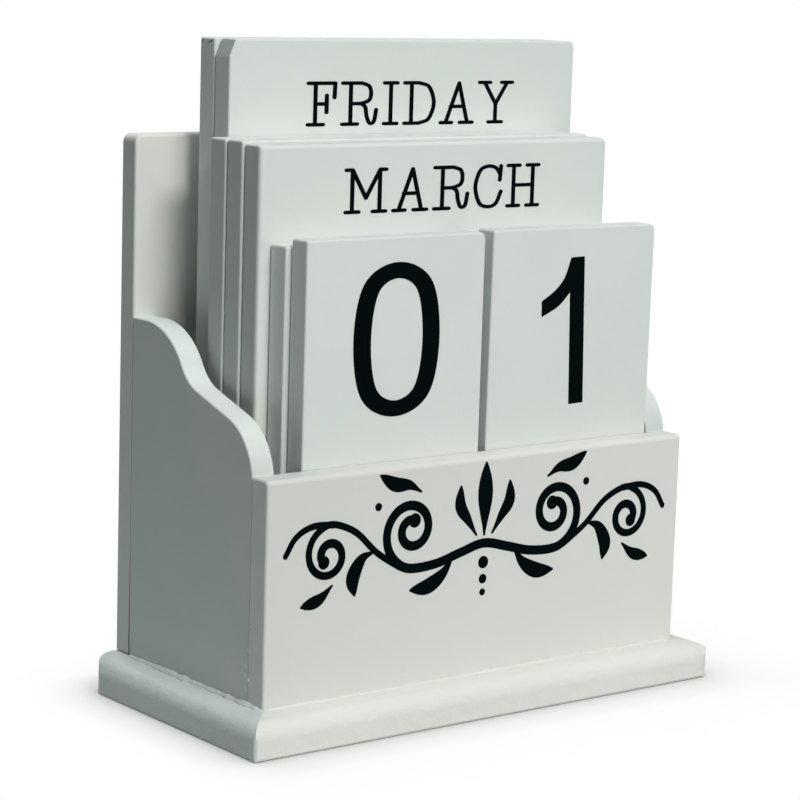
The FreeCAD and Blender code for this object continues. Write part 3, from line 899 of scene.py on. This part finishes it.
# Rings over which an end closes, how much wider than high a bead is, and how far its lip droops
BEAD_END = 4
BEAD_SPREAD = 1.7
BEAD_DROOP = 0.3
# Least and greatest radius of each bead
LEFT_BEAD = (0.20 * MM, 1.15 * MM)
FRONT_BEAD = (0.12 * MM, 0.6 * MM)
RIGHT_BEAD = (0.15 * MM, 0.8 * MM)


def seam_bead(name, start, end, thin, thick, material):
    """A lumpy run of painted filler along the corner where a panel stands on the base board."""
    along = (end - start).normalized()
    up = Vector((0, 0, 1))
    out = along.cross(up)
    count = round((end - start).length / BEAD_STEP)
    build = bmesh.new()
    angles = [math.tau * side / BEAD_SIDES for side in range(BEAD_SIDES)]
    rings = []
    for index in range(1, count):
        point = start.lerp(end, index / count)
        lump = 0.5 + 0.5 * noise.noise(point / BEAD_LUMP)
        lump += FINE_LUMP_SHARE * noise.noise(point / BEAD_LUMP * FINE_LUMP)
        radius = thin + (thick - thin) * min(max(lump, 0), 1)
        radius *= math.sqrt(min(index, count - index, BEAD_END) / BEAD_END)
        ring = []
        for angle in angles:
            reach = math.cos(angle)
            rise = math.sin(angle) - BEAD_DROOP * max(reach, 0)
            ring.append(build.verts.new(point + (out * reach * BEAD_SPREAD + up * rise) * radius))
        rings.append(ring)
    for ring, following in zip(rings, rings[1:]):
        for side in range(BEAD_SIDES):
            after = (side + 1) % BEAD_SIDES
            build.faces.new([ring[side], ring[after], following[after], following[side]])
    for ring, tip in ((rings[0], build.verts.new(start)), (rings[-1], build.verts.new(end))):
        for side in range(BEAD_SIDES):
            build.faces.new([ring[side], ring[(side + 1) % BEAD_SIDES], tip])
    bmesh.ops.recalc_face_normals(build, faces=build.faces)
    for face in build.faces:
        face.smooth = True
    mesh = bpy.data.meshes.new(name)
    build.to_mesh(mesh)
    build.free()
    add_piece(name, mesh, "holder", material)


def add_beads():
    """Filler along the foot of the box at the left, the front and the right, thickest at the left, where it
    takes the cool painted shade of the base's left side.
    """
    low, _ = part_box("front_panel")
    _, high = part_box("right_side_panel")
    back_left = Vector((low.x, high.y, low.z))
    front_left = Vector((low.x, low.y, low.z))
    front_right = Vector((high.x, low.y, low.z))
    back_right = Vector((high.x, high.y, low.z))
    seam_bead("seam_bead_left", back_left, front_left, *LEFT_BEAD, FILLER_IN_COOL_SHADE)
    seam_bead("seam_bead_front", front_left, front_right, *FRONT_BEAD, FILLER)
    seam_bead("seam_bead_right", front_right, back_right, *RIGHT_BEAD, FILLER)


# How quickly a wandering line bends, in cells of noise to a millimetre
WANDER_SCALE = 0.35


def wandering(start, end, sway, count):
    """Points from start to end that wander sideways a little, both in millimetres."""
    start, end = Vector(start), Vector(end)
    across = (end - start).normalized()
    across = Vector((-across.y, across.x))
    points = []
    for index in range(count + 1):
        point = start.lerp(end, index / count)
        points.append(point + across * sway * noise.noise(Vector((point.x, point.y, 0)) * WANDER_SCALE))
    return points


def left_face(node):
    """A place function for a node's left face: x runs back and y runs up, in metres."""
    low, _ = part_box(node)
    return lambda x, y, proud: Vector((low.x - proud, x, y))


def in_metres(outlines):
    """Outlines given in millimetres, in metres."""
    return [[Vector(p) * MM for p in outline] for outline in outlines]


# Heights of the joint lines on the left side, and where the rear one closes to a hairline
JOINT_FOOT = 9.3
JOINT_CLOSES = 36
REAR_JOINT_TOP = 89.5
FRONT_JOINT_FOOT = 10
FRONT_JOINT_TOP = 60.4
# How far the lines wander, their half widths, from foot to top where they narrow, and the steps along them
JOINT_SWAY = 0.25
HAIRLINE_SWAY = 0.2
OPEN_JOINT = (0.24, 0.04)
REAR_HAIRLINE = 0.03
FRONT_HAIRLINE = 0.025
OPEN_STEPS = 14
HAIRLINE_STEPS = 24
# Runs of paint beside the front joint: place along the side, top, foot and half width at the foot, and
# how far each bows towards the back
RUN_BOW = 0.1
PAINT_RUNS = (
    (-21.0, 22.0, 21.1, 0.16),
    (-20.2, 18.6, 17.4, 0.22),
    (-21.4, 15.2, 14.6, 0.20),
    (-20.5, 12.9, 11.9, 0.26),
    (-22.0, 27.4, 26.9, 0.14),
    (-20.1, 15.9, 15.3, 0.14),
)
# Dark marks on the left edge of the rear weekday plaque, painted shade of small knocks: their line, and
# half width at its start
KNOCKS = (
    (((17.8, 155.3), (18.6, 154.9), (19.5, 154.6)), 0.14),
    (((21.6, 155.3), (22.1, 154.4)), 0.12),
)


def add_joint_lines():
    """Thin dark lines over the joints on the left, painted shade of their gaps, the rear one wider at its
    foot, and runs of paint in the cool painted shade of the left side.
    """
    side = left_face("left_side_panel")
    low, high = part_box("left_side_panel")
    rear, front = high.y / MM, low.y / MM
    open_line = wandering((rear, JOINT_FOOT), (rear, JOINT_CLOSES), JOINT_SWAY, OPEN_STEPS)
    closed_line = wandering((rear, JOINT_CLOSES), (rear, REAR_JOINT_TOP), HAIRLINE_SWAY, HAIRLINE_STEPS)
    open_part = stroke(open_line, tapering(*OPEN_JOINT))
    hairline = stroke(closed_line, REAR_HAIRLINE)
    cut_sheet("rear_joint_line", in_metres(open_part + hairline), side, "holder", GAP_SHADE,
              HAIRLINE_THICKNESS)
    front_line = wandering((front, FRONT_JOINT_FOOT), (front, FRONT_JOINT_TOP), JOINT_SWAY, HAIRLINE_STEPS)
    seam = stroke(front_line, FRONT_HAIRLINE)
    cut_sheet("front_joint_line", in_metres(seam), side, "holder", GAP_SHADE,
              HAIRLINE_THICKNESS)
    for index, (along, top, foot, radius) in enumerate(PAINT_RUNS):
        run = stroke([(along, top), (along + RUN_BOW, (top + foot) / 2), (along, foot)],
                     tapering(radius * 0.5, radius))
        cut_sheet("paint_run_%d" % (index + 1), in_metres(run), side, "holder", FILLER_IN_COOL_SHADE,
                  RUN_THICKNESS)


def add_knocks():
    """Thin dark marks of painted shade in small knocks."""
    node = "weekday_plaque_rear"
    for index, (points, radius) in enumerate(KNOCKS):
        cut_sheet("knock_%d" % (index + 1), in_metres(stroke(points, tapering(radius, radius * 0.5))),
                  left_face(node), node, GAP_SHADE, HAIRLINE_THICKNESS)


VINYL = vinyl()
FILLER = painted("paint_filler", seed=31, tones=BOX_PAINT)
# Painted light and shade: filler and paint runs on the left take the base's cool, darker left-facing tone
FILLER_IN_COOL_SHADE = painted("paint_filler_left", seed=37, tones=(BOX_PAINT_IN_COOL_SHADE, BOX_PAINT_IN_COOL_SHADE))
# Painted shade: a dark sheet stands in for the shade in open joints and knocks
GAP_SHADE = gap_shade()

add_camera()
for lamp in LAMPS:
    add_lamp(*lamp)
add_world()
add_floor()
dress_nodes()
mark_plaques()
add_scroll()
add_beads()
add_joint_lines()
add_knocks()

view = bpy.context.scene.view_settings
view.view_transform = "Standard"
